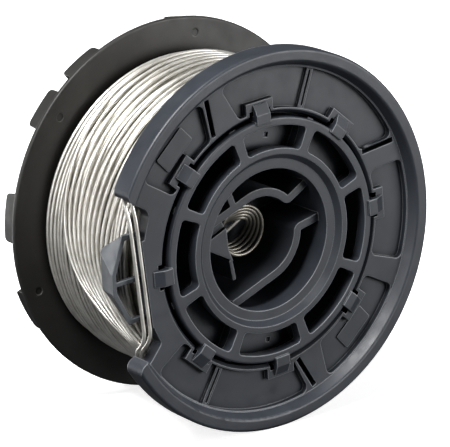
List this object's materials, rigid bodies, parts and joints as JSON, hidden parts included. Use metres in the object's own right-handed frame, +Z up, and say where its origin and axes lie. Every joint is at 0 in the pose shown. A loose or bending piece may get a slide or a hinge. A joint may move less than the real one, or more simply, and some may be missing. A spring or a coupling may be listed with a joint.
{
  "type": "tie wire reel",
  "caption": "Reel of paired soft steel tie wire: a slotted drum between a ribbed front flange with a wire notch and a rear flange with a toothed crown.",
  "frame": {"origin": "on the reel's axis, midway between the front rim and the tips of the crown teeth", "axes": "+Y along the axis from the front flange to the rear flange, +Z up, +X to the right as seen from the front"},
  "size_m": [0.105, 0.0536, 0.105],
  "materials": {
    "reel_plastic": "satin moulded plastic",
    "rear_plastic": "satin moulded plastic",
    "retainer_plastic": "satin moulded plastic",
    "tie_wire": "drawn annealed steel, lightly coated"
  },
  "bodies": {
    "root": {"drum": "reel_plastic", "front_flange": "reel_plastic", "rear_flange": "rear_plastic", "wire_retainer": "retainer_plastic", "wire_windings": "tie_wire", "wire_a_tail": "tie_wire", "wire_b_tail": "tie_wire", "wire_a_start": "tie_wire", "wire_b_start": "tie_wire"}
  },
  "joints": []
}
